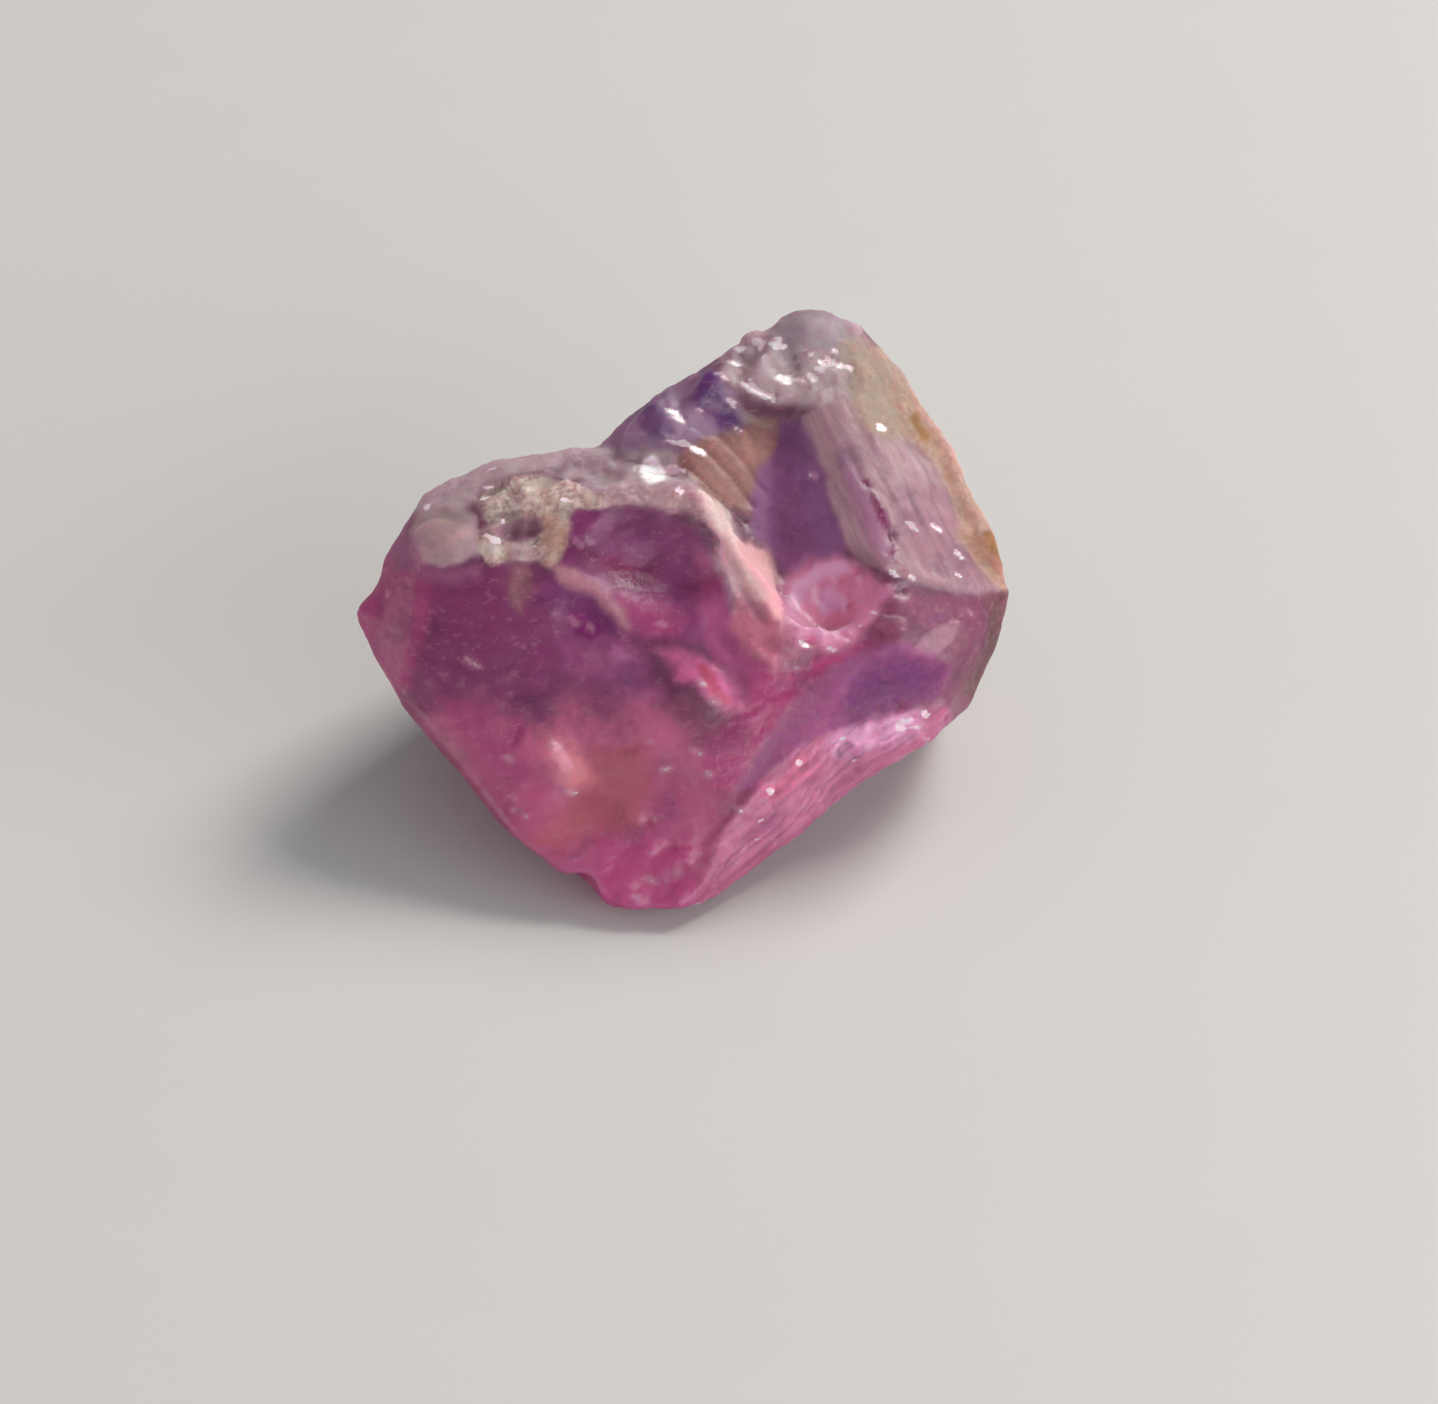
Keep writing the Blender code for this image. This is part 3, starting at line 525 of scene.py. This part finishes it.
# Single pits: the pixel of each, its reach and its depth in mm
pits = {
    "crustHollow": ((512, 531), 0.12, 0.1),
    "crustHollowRight": ((530, 529), 0.11, 0.1),
    "crustPitHigh": ((512, 492), 0.1, 0.1),
    "crustPitLow": ((505, 556), 0.1, 0.08),
    "ridgePit": ((570, 478), 0.12, 0.08),
    "knobFoot": ((482, 560), 0.14, 0.1),
    "lipPit": ((781, 592), 0.08, 0.08),
    "bowlPitFoot": ((808, 640), 0.1, 0.09),
    "bowlPitMiddle": ((820, 600), 0.06, 0.05),
    "bowlPitRight": ((850, 612), 0.07, 0.05),
    "bowlPitHigh": ((838, 582), 0.06, 0.04),
    "bowlPitLow": ((842, 632), 0.07, 0.05),
    "facePit": ((893, 534), 0.06, 0.05),
    "facePitLow": ((888, 552), 0.06, 0.05),
    "edgeCrack": ((900, 570), 0.1, 0.08),
    "edgeCrackLow": ((903, 590), 0.1, 0.08),
    "bandPitHigh": ((845, 750), 0.13, 0.1),
    "bandPitMiddle": ((778, 798), 0.12, 0.09),
    "bandPitLow": ((752, 840), 0.1, 0.07),
    "tipPit": ((672, 845), 0.09, 0.07),
    "frontPit": ((648, 820), 0.08, 0.06),
    "frontPitLeft": ((517, 812), 0.07, 0.06),
    "stripPit": ((898, 706), 0.1, 0.08),
}

# Small facets that catch the light, painted white as painted glints: the pixel of each and its reach in mm
sparks = [
    ((655, 470), 0.2), ((675, 413), 0.1), ((686, 444), 0.08), ((698, 452), 0.1), ((752, 387), 0.12),
    ((766, 397), 0.1), ((785, 379), 0.12), ((813, 378), 0.09), ((763, 342), 0.13), ((778, 344), 0.08),
    ((738, 327), 0.07), ((753, 329), 0.07), ((740, 349), 0.08), ((733, 361), 0.07), ((823, 365), 0.08),
    ((843, 365), 0.07), ((896, 574), 0.07), ((912, 577), 0.06), ((807, 642), 0.06),
    ((782, 594), 0.07), ((905, 720), 0.1), ((917, 728), 0.08), ((800, 765), 0.08),
    ((772, 792), 0.07), ((925, 715), 0.08),
]

# and faint ones, deeper in the pink of the stone, painted pale pink as faint painted glints
faintSparks = [
    ((817, 592), 0.05), ((474, 663), 0.1), ((813, 474), 0.07), ((577, 543), 0.07), ((590, 541), 0.06),
    ((673, 513), 0.05), ((387, 595), 0.06), ((510, 758), 0.07), ((652, 742), 0.06), ((697, 752), 0.06),
    ((710, 775), 0.07), ((667, 768), 0.06), ((637, 898), 0.06), ((652, 881), 0.07), ((522, 813), 0.07),
    ((663, 625), 0.06), ((700, 682), 0.08), ((718, 703), 0.08), ((557, 745), 0.09), ((513, 797), 0.06),
    ((745, 850), 0.06), ((836, 752), 0.06), ((575, 622), 0.06), ((590, 628), 0.06),
]

# Places worn smooth before the fine relief: their outlines in pixels
easedPlaces = {
    "dishFoot": [(560, 530), (590, 540), (625, 570), (665, 590), (705, 595), (745, 640), (740, 680),
                 (700, 668), (650, 658), (600, 642), (565, 612), (545, 570)],
    "leftKnob": [(325, 570), (385, 565), (402, 605), (388, 650), (330, 655)],
    "cornerTop": [(690, 352), (728, 350), (738, 395), (698, 395)],
    "stripHead": [(735, 790), (770, 740), (800, 700), (830, 690), (820, 720), (790, 760), (755, 800)],
    "bowlRim": [(780, 560), (870, 550), (915, 600), (870, 660), (800, 660), (775, 620)],
}


def isFront(at):
    # whether a point lies on the surface that the camera sees, or just behind it
    shown = onStone(pixelOf(at))
    return shown is None or (shown - at).length < stoneShape["frontDepth"]


def easePlaces(stone):
    # smooths the chosen places more than the rest
    group = stone.vertex_groups.new(name="eased")
    low, high = stoneShape["placeFade"]
    for vertex in stone.data.vertices:
        across, down = pixelOf(vertex.co)
        inside = max(insideBy(across, down, outline) for outline in easedPlaces.values())
        if inside > low and isFront(vertex.co):
            group.add([vertex.index], softStep(low, high, inside), "REPLACE")
    smoothStone(stone, stoneShape["placeSteps"], group.name)
    stone.vertex_groups.clear()


def smoothStone(stone, steps, group=""):
    ease = stone.modifiers.new("ease", "SMOOTH")
    ease.vertex_group = group
    ease.factor = 0.5
    ease.iterations = steps
    bpy.ops.object.modifier_apply(modifier=ease.name)


def startStone():
    # a welded copy of the solid, in mm, rebuilt as a fine even surface
    stone = bpy.data.objects.new("spinelCrystal", cadStone.data.copy())
    bpy.context.scene.collection.objects.link(stone)
    bpy.ops.object.select_all(action="DESELECT")
    stone.select_set(True)
    bpy.context.view_layer.objects.active = stone
    bpy.ops.object.mode_set(mode="EDIT")
    bpy.ops.mesh.select_all(action="SELECT")
    bpy.ops.mesh.remove_doubles(threshold=0.000001)
    bpy.ops.object.mode_set(mode="OBJECT")
    stone.data.transform(Matrix.Scale(metre, 4))
    cells = stone.modifiers.new("cells", "REMESH")
    cells.mode = "VOXEL"
    cells.voxel_size = stoneShape["cell"]
    bpy.ops.object.modifier_apply(modifier=cells.name)
    smoothStone(stone, stoneShape["easeSteps"])
    easePlaces(stone)
    print("fine surface:", len(stone.data.vertices), "points")
    return stone


def pitted(at, size):
    # 1 in the middle of a scattered pit, 0 away from it
    distances = noise.voronoi(at / size)[0]
    return 1 - softStep(*stoneShape["pitRim"], distances[0])


def chipAt(at, normal, size, tilt):
    # the height of a surface broken into flat patches, each tilted its own way
    fine, strength = stoneShape["chipWarp"]
    warped = at + noise.noise_vector(at * (fine / size)) * strength * size
    centre = noise.voronoi(warped / size)[1][0]
    slope = noise.cell_vector(centre * 7.3) * 2 - Vector((1, 1, 1))
    slope -= normal * slope.dot(normal)
    return tilt * (warped - centre * size).dot(slope)


def besideLine(at, chain, reach):
    # 1 on a line, falling softly to 0 beyond its reach
    nearest = inf
    for start, end in zip(chain, chain[1:]):
        along = end - start
        part = min(1.0, max(0.0, (at - start).dot(along) / along.length_squared))
        nearest = min(nearest, (at - start - along * part).length_squared)
    return exp(-nearest / (reach * reach)) if nearest < 6 * reach * reach else 0.0


def acrossRun(run, face):
    # the direction across a set of grooves, in the face that they lie on
    return Vector(run).normalized().cross(Vector(face)).normalized()


def grainHeight(at, paint):
    # crumbs and lumps of the crust, with darker gaps between the crumbs
    s = stoneShape
    fine, strength = s["crumbCrowding"]
    crowding = 1 + strength * softStep(0, 0.3, noise.noise(at * fine))
    fine, strength = s["crumbWarp"]
    warped = (at + noise.noise_vector(at * fine) * strength) / s["crumbSize"]
    distances, centres = noise.voronoi(warped * crowding)
    crumb = softStep(*s["crumbEdge"], distances[0])
    crumb *= 1 - s["crumbSpread"] + s["crumbSpread"] * noise.cell(centres[0] * 9.1)
    share = s["gapShare"] * paint["grains"] * (1 - crumb)
    paint["colour"] = paint["colour"].lerp(linear(s["crumbGap"]), share)
    return s["crumbHeight"] * (crumb - 0.5) + s["lumpHeight"] * noise.noise(at / s["lumpSize"])


def growthHeight(at):
    # growth steps and stray pits of the clean faces
    s = stoneShape
    stretched = at * Vector(s["stepStretch"])
    step = noise.noise(stretched / s["stepSize"])
    stray = softStep(0.1, 0.4, noise.noise(at * 1.1))
    stray *= pitted(at + Vector((3, 7, 1)), s["strayPitSize"])
    return s["stepHeight"] * softStep(-0.1, 0.12, step) - s["strayPit"] * stray


def heightAt(at, normal, paint):
    # how far the zones' settings raise a point of the surface
    s = stoneShape
    height = s["swell"] * noise.noise(at / s["swellSize"])
    height += chipAt(at, normal, s["faceSize"], s["faceTilt"])
    if paint["chips"] > s["least"]:
        height += paint["chips"] * chipAt(at, normal, s["chipSize"], s["chipTilt"])
    if paint["grains"] > s["least"]:
        height += paint["grains"] * grainHeight(at, paint)
    if paint["pits"] > s["least"]:
        height -= paint["pits"] * s["pitDepth"] * pitted(at, s["pitSize"])
    if paint["matte"] > s["least"]:
        height += paint["matte"] * s["frostHeight"] * noise.turbulence(at / s["frostSize"], 3, False)
    if paint["grooves"] > s["least"]:
        turn = 2 * pi * (at.dot(acrossGrooves) + wander(at, s["grooveWander"])) / s["grooveSpacing"]
        slow, share = s["grooveSecond"]
        height += paint["grooves"] * s["grooveDepth"] * (sin(turn) + share * sin(turn * slow + 1))
    if paint["bandGrooves"] > s["least"]:
        turn = 2 * pi * (at.dot(acrossBand) + wander(at, s["bandWander"])) / s["bandGrooveSpacing"]
        height += paint["bandGrooves"] * s["bandGrooveDepth"] * sin(turn)
    clean = 1 - max(paint["grains"], paint["grooves"], paint["matte"])
    if clean > s["least"]:
        height += clean * growthHeight(at)
    return height * softStep(0.0, s["footFade"], at.z)


acrossGrooves = acrossRun(stoneShape["grooveRun"], stoneShape["grooveFace"])
acrossBand = acrossRun(stoneShape["bandRun"], stoneShape["bandFace"])


def shapeStone(stone):
    # works grains, pits, grooves, edges and growth steps into the surface
    mesh = stone.data
    points = [vertex.co.copy() for vertex in mesh.vertices]
    normals = [vertex.normal.copy() for vertex in mesh.vertices]
    paints = paintStone(points, normals)
    heights = [heightAt(*point) for point in zip(points, normals, paints)]
    for pixels, reach, rise in lines.values():
        chain = [place for place in (onStone(pixel) for pixel in pixels) if place]
        addRelief(points, heights, chain, reach, rise)
    for pixel, reach, depth in pits.values():
        place = onStone(pixel)
        addRelief(points, heights, [place, place + Vector((0.02, 0, 0))], reach, -depth)
    for vertex, at, normal, height in zip(mesh.vertices, points, normals, heights):
        vertex.co = at + normal * height
    cutSparks(mesh, paints, strewSparks(points, paints))
    keepPaint(mesh, paints)
    mesh.transform(Matrix.Scale(1 / metre, 4))
    mesh.shade_smooth()
    mesh.update()
    print("surface worked:", len(mesh.polygons), "faces")


def addRelief(points, heights, chain, reach, rise):
    # raises the points beside a line; a negative rise sinks them
    margin = 2.5 * reach
    low = [min(p[i] for p in chain) - margin for i in range(3)]
    high = [max(p[i] for p in chain) + margin for i in range(3)]
    for index, at in enumerate(points):
        if low[0] < at.x < high[0] and low[1] < at.y < high[1] and low[2] < at.z < high[2]:
            heights[index] += rise * besideLine(at, chain, reach)


def strewSparks(points, paints):
    # more small facets, at random where the stone sparkles: place, reach and strength of each
    nearest = {}
    for at, paint in zip(points, paints):
        if paint["sparkle"] > stoneShape["least"]:
            distances, centres = noise.voronoi(at / facets["gap"])
            centre, away = tuple(centres[0]), distances[0]
            chance = 0.5 + 0.5 * noise.cell(centres[0] * 7.7)
            if chance < paint["sparkle"] and away < nearest.get(centre, (0.5,))[0]:
                nearest[centre] = (away, at, max(paint["matte"], paint["cover"]))
    reach, change = facets["strewnReach"]
    faint, added = facets["faintStrength"], facets["dullStrength"]
    strewn = [(at, reach + change * noise.cell(at * 31), faint + added * dull)
              for away, at, dull in nearest.values()]
    print("facets strewn:", len(strewn))
    return strewn


def cutSparks(mesh, paints, strewn):
    # turns small places of the surface into flat facets, painted pale and marked for the white of painted
    # glints
    facing = Vector(facets["facing"]).normalized()
    pale = linear(facets["pale"])
    level, change = facets["turn"]
    tree = kdtree.KDTree(len(mesh.vertices))
    for vertex in mesh.vertices:
        tree.insert(vertex.co, vertex.index)
    tree.balance()
    placed = [(onStone(pixel), reach, 1.0) for pixel, reach in sparks]
    placed += [(onStone(pixel), reach, facets["faintStrength"]) for pixel, reach in faintSparks]
    for place, reach, strength in placed + strewn:
        if place is None:
            print("a facet misses the stone, reach", reach)
            continue
        middle = tree.find(place)[0].copy()
        turn = radians(level + change * noise.noise(middle * 1.7))
        run = toRight * cos(turn) + toTop * sin(turn)
        for at, index, _ in tree.find_range(middle, 2.4 * reach):
            offset = at - middle
            along = offset.dot(run)
            away = sqrt((along / facets["length"]) ** 2 + (offset - run * along).length_squared)
            away *= (1 + facets["ragged"] * noise.noise(at * 9)) / (facets["fill"] * reach)
            vertex = mesh.vertices[index]
            move = (vertex.co - middle).dot(facing) * softStep(*facets["flatFrom"], away)
            move *= softStep(*facets["smallest"], reach)
            vertex.co = vertex.co - facing * max(-facets["depth"], min(facets["depth"], move))
            paint = paints[index]
            share = softStep(*facets["brightFrom"], away)
            paint["glints"] = max(paint["glints"], strength * share)
            paint["colour"] = paint["colour"].lerp(pale, facets["paleShare"] * (1 - strength) * share)


def keepPaint(mesh, paints):
    # writes the zones' colours and settings to the mesh, for the material
    layer = mesh.color_attributes.new("tint", "FLOAT_COLOR", "POINT")
    layer.data.foreach_set("color", [share for paint in paints for share in (*paint["colour"], 1)])
    for name in shownSettings:
        layer = mesh.attributes.new(name, "FLOAT", "POINT")
        layer.data.foreach_set("value", [paint[name] for paint in paints])


# The stone's finish

stoneLook = {
    "clear": 0.6,  # how much of the light passes the clear stone's surface
    "frosted": 0.4,
    "coveredAt": (0.4, 0.6, 0.22, 0.02),  # where mottles start and are full, and what they let pass
    "soft": 0.7,  # how far light spreads under the cloudy part of the surface
    "softReach": 0.0012,
    "softColours": (1.0, 0.35, 0.6),
    "clearGlossAt": (0.35, 0.7, 0.34, 0.48),
    "frostedGloss": 0.6,
    "coveredGloss": 0.7,
    # painted glints: the gloss of the bright facets, the share of white painted on them, how ragged they are
    # and where they start
    "glintGloss": 0.14,
    "glintWhite": 0.7,
    "glintRagged": 0.8,
    "glintAt": (0.82, 0.95),
    "shine": 0.11,  # how strongly the surface mirrors
    "ior": 1.72,
    "absorb": (0.84, 0.10, 0.50),
    "absorbDensity": 130.0,
    "frayed": 0.65,  # how far the edges of the covered places fray
    "frayNoise": 0.9,
    "frayAt": (0.3, 0.7),
    "crustLeast": 0.2,
    "bumpHeight": 0.00005,  # m
    "bumpStrength": 0.6,
    "fineRelief": 0.35,  # before the grains add theirs
    "mottledRelief": 0.5,
    "groovedRelief": 0.5,
    "deep": (0.42, 0.30, 0.48),
    "rosy": (0.58, 0.17, 0.31),
    "fleck": (0.70, 0.32, 0.46),
    "stain": (0.34, 0.16, 0.13),
    "grainGap": (0.16, 0.07, 0.09),
    "crustPale": (0.80, 0.70, 0.64),
    # the white painted on the bright facets as painted glints
    "glint": (0.95, 0.86, 0.90),
    # where each of these lies on: the noise's level where it starts and is full, and its share there
    "deepAt": (0.48, 0.68, 0, 0.6),
    "rosyAt": (0.52, 0.72, 0, 0.3),
    "fleckAt": (0.56, 0.68, 0, 0.24),
    "groovesAt": (0.42, 0.62, 0, 0.3),
    "bandsAt": (0.45, 0.65, 0, 0.5),
    "stainAt": (0.5, 0.66, 0, 0.35),
    "gapAt": (0.5, 0.64, 0, 0.45),
    "paleAt": (0.45, 0.34, 0, 0.25),
}


# Its noises: the size of the patches in mm, the detail, the roughness and the stretch
noises = {
    "cloudy": (0.8, 5),
    "mottled": (0.28,),
    "fine": (0.1,),
    "streaks": (0.42, 5, 0.62, (0.7, 1.0, 1.7)),
    "flecks": (0.15, 3, 0.6, (0.8, 1.0, 1.5)),
    "grooved": (0.11, 4, 0.5, (1, 1, 1 / 14), stoneShape["grooveRun"]),
    "banded": (0.14, 4, 0.5, (1, 1, 1 / 14), stoneShape["bandRun"]),
}


def feed(tree, socket, value):
    # a number, a vector, a colour or another node's output into a socket
    if isinstance(value, bpy.types.NodeSocket):
        tree.links.new(value, socket)
    else:
        socket.default_value = (*value, 1) if socket.type == "RGBA" else value


def node(tree, kind, inputs, **settings):
    made = tree.nodes.new(kind)
    for name, value in settings.items():
        setattr(made, name, value)
    for name, value in inputs.items():
        feed(tree, made.inputs[name], value)
    return made.outputs


def noiseAt(tree, size, detail=4, roughness=0.6, stretch=(1, 1, 1), run=(0, 0, 1)):
    # a noise on the stone's own coordinates, whose patches measure about size mm and may be
    # stretched along a run
    turn = Vector(run).normalized().rotation_difference(Vector((0, 0, 1))).to_euler()
    scale = [metre / size * share for share in stretch]
    place = node(tree, "ShaderNodeTexCoord", {})["Object"]
    place = node(tree, "ShaderNodeMapping", {"Vector": place, "Rotation": turn})["Vector"]
    place = node(tree, "ShaderNodeMapping", {"Vector": place, "Scale": scale})["Vector"]
    inputs = {"Vector": place, "Scale": 1, "Detail": detail, "Roughness": roughness}
    return node(tree, "ShaderNodeTexNoise", inputs)["Fac"]


def ramp(tree, source, low, high, toLow=0.0, toHigh=1.0):
    inputs = {"Value": source, "From Min": low, "From Max": high, "To Min": toLow, "To Max": toHigh}
    return node(tree, "ShaderNodeMapRange", inputs, interpolation_type="SMOOTHSTEP")["Result"]


def maths(tree, operation, first, second):
    return node(tree, "ShaderNodeMath", {0: first, 1: second}, operation=operation)["Value"]


def mixValue(tree, share, first, second):
    inputs = {"Factor": share, "A": first, "B": second}
    return node(tree, "ShaderNodeMix", inputs, data_type="FLOAT")["Result"]


def mixColour(tree, share, first, second, blend="MIX"):
    # the sockets of this node that carry colours are 6, 7 and 2
    inputs = {"Factor": share, 6: first, 7: second}
    return node(tree, "ShaderNodeMix", inputs, data_type="RGBA", blend_type=blend)[2]


def tinted(tree, colour, where, texture, levels, tone, blend="MIX"):
    # lays a tone on the colour, as far as a setting and a noise let it
    share = maths(tree, "MULTIPLY", where, ramp(tree, texture, *levels))
    return mixColour(tree, share, colour, tone, blend)


def zoneValue(tree, name, output="Fac"):
    return node(tree, "ShaderNodeAttribute", {}, attribute_name=name)[output]


def stoneMaterial():
    look = stoneLook
    material = bpy.data.materials.new("spinel")
    material.use_nodes = True
    tree = material.node_tree
    surface = tree.nodes["Principled BSDF"]
    cloudy, mottled, fine, streaks, flecks, grooved, banded = (
        noiseAt(tree, *values) for values in noises.values())
    cover, matte, grains, grooves, bands, glints = (zoneValue(tree, name) for name in shownSettings)
    frayed = maths(tree, "MULTIPLY", maths(tree, "SUBTRACT", fine, 0.5), look["frayNoise"])
    frayed = ramp(tree, maths(tree, "ADD", cover, frayed), *look["frayAt"])
    cover = mixValue(tree, look["frayed"], cover, frayed)
    bare = maths(tree, "SUBTRACT", 1.0, cover)
    exposed = maths(tree, "MULTIPLY", bare, maths(tree, "SUBTRACT", 1.0, matte))
    crusted = maths(tree, "MULTIPLY", cover, maths(tree, "ADD", grains, look["crustLeast"]))
    glints = maths(tree, "ADD", glints, maths(tree, "MULTIPLY", fine, look["glintRagged"]))
    glints = ramp(tree, glints, *look["glintAt"])

    colour = zoneValue(tree, "tint", "Color")
    colour = tinted(tree, colour, bare, cloudy, look["deepAt"], look["deep"], "MULTIPLY")
    colour = tinted(tree, colour, exposed, streaks, look["rosyAt"], look["rosy"])
    colour = tinted(tree, colour, exposed, flecks, look["fleckAt"], look["fleck"])
    colour = tinted(tree, colour, grooves, grooved, look["groovesAt"], look["deep"], "MULTIPLY")
    colour = tinted(tree, colour, bands, banded, look["bandsAt"], look["deep"], "MULTIPLY")
    colour = tinted(tree, colour, cover, mottled, look["stainAt"], look["stain"])
    colour = tinted(tree, colour, grains, fine, look["gapAt"], look["grainGap"])
    colour = tinted(tree, colour, crusted, mottled, look["paleAt"], look["crustPale"])
    # painted glints: white laid over the bright facets
    colour = mixColour(tree, maths(tree, "MULTIPLY", glints, look["glintWhite"]), colour, look["glint"])

    clear = mixValue(tree, matte, look["clear"], look["frosted"])
    clear = mixValue(tree, cover, clear, ramp(tree, mottled, *look["coveredAt"]))
    gloss = ramp(tree, mottled, *look["clearGlossAt"])
    gloss = mixValue(tree, matte, gloss, look["frostedGloss"])
    gloss = mixValue(tree, cover, gloss, look["coveredGloss"])
    gloss = mixValue(tree, glints, gloss, look["glintGloss"])

    grain = maths(tree, "MULTIPLY", fine, maths(tree, "ADD", grains, look["fineRelief"]))
    grain = maths(tree, "ADD", grain, maths(tree, "MULTIPLY", mottled, look["mottledRelief"]))
    lined = maths(tree, "MULTIPLY", grooves, maths(tree, "MULTIPLY", grooved, look["groovedRelief"]))
    grain = maths(tree, "ADD", grain, lined)
    grain = maths(tree, "ADD", grain, maths(tree, "MULTIPLY", bands, banded))
    bump = node(tree, "ShaderNodeBump", {"Strength": look["bumpStrength"], "Distance": look["bumpHeight"],
                                         "Height": grain})["Normal"]
    finish = {"Base Color": colour, "Transmission Weight": clear, "Roughness": gloss, "Normal": bump,
              "IOR": look["ior"], "Specular IOR Level": look["shine"], "Subsurface Weight": look["soft"],
              "Subsurface Scale": look["softReach"], "Subsurface Radius": look["softColours"]}
    for name, value in finish.items():
        feed(tree, surface.inputs[name], value)
    absorb = {"Color": look["absorb"], "Density": look["absorbDensity"]}
    absorb = node(tree, "ShaderNodeVolumeAbsorption", absorb)["Volume"]
    feed(tree, tree.nodes["Material Output"].inputs["Volume"], absorb)
    print("spinel finished")
    return material


# Floor and light

studio = {
    "floorSize": 0.6,
    "floorColour": (0.50, 0.49, 0.48),
    "floorDark": 0.9,  # its darker clouds, against the rest
    "floorNoise": (3.0, 3, 0.55),
    "floorCloudAt": (0.3, 0.7, 0, 0.06),
    "floorRoughness": 0.6,
    "world": (0.80, 0.84, 0.90),
    "worldStrength": 0.34,
    "lightDistance": 0.3,
    "lightAim": (0, 0, 0.003),
}

# Softboxes: the direction of each from the stone, its size, power and colour
softboxes = {
    "keyLight": ((0.5, 0.45, 0.75), (0.14, 0.14), 0.9, (1.0, 0.96, 0.9)),
    "leftLight": ((-0.95, -0.35, 0.1), (0.4, 0.1), 0.4, (1.0, 0.98, 0.97)),  # low, out of mirroring
    "rightLight": ((0.8, -0.65, 0.16), (0.5, 0.26), 1.8, (1.0, 0.98, 0.97)),
}


def addFloor():
    bpy.ops.mesh.primitive_plane_add(size=studio["floorSize"], location=(0, 0, 0))
    floor = bpy.context.object
    floor.name = "studioFloor"
    material = bpy.data.materials.new("paleFloor")
    material.use_nodes = True
    tree = material.node_tree
    surface = tree.nodes["Principled BSDF"]
    clouds = ramp(tree, noiseAt(tree, *studio["floorNoise"]), *studio["floorCloudAt"])
    darker = tuple(studio["floorDark"] * share for share in studio["floorColour"])
    tone = mixColour(tree, clouds, studio["floorColour"], darker)
    feed(tree, surface.inputs["Base Color"], tone)
    feed(tree, surface.inputs["Roughness"], studio["floorRoughness"])
    floor.data.materials.append(material)


def addSoftbox(name, towards, size, power, colour):
    data = bpy.data.lights.new(name, "AREA")
    data.shape = "RECTANGLE"
    data.size, data.size_y = size
    data.energy = power
    data.color = colour
    box = bpy.data.objects.new(name, data)
    bpy.context.scene.collection.objects.link(box)
    way = Vector(towards).normalized()
    box.location = way * studio["lightDistance"] + Vector(studio["lightAim"])
    box.rotation_euler = (-way).to_track_quat("-Z", "Y").to_euler()


def addLight():
    world = bpy.data.worlds.new("studioWorld")
    bpy.context.scene.world = world
    world.use_nodes = True
    background = world.node_tree.nodes["Background"]
    feed(world.node_tree, background.inputs["Color"], studio["world"])
    feed(world.node_tree, background.inputs["Strength"], studio["worldStrength"])
    for name, (towards, size, power, colour) in softboxes.items():
        addSoftbox(name, towards, size, power, colour)
    bpy.context.scene.view_settings.view_transform = "Standard"
    print("studio lit")


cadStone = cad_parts["spinel_crystal"]
addCamera()
stone = startStone()
shapeStone(stone)
stone.data.materials.clear()
stone.data.materials.append(stoneMaterial())
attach(stone, "root")
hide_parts("spinel_crystal")
addFloor()
addLight()
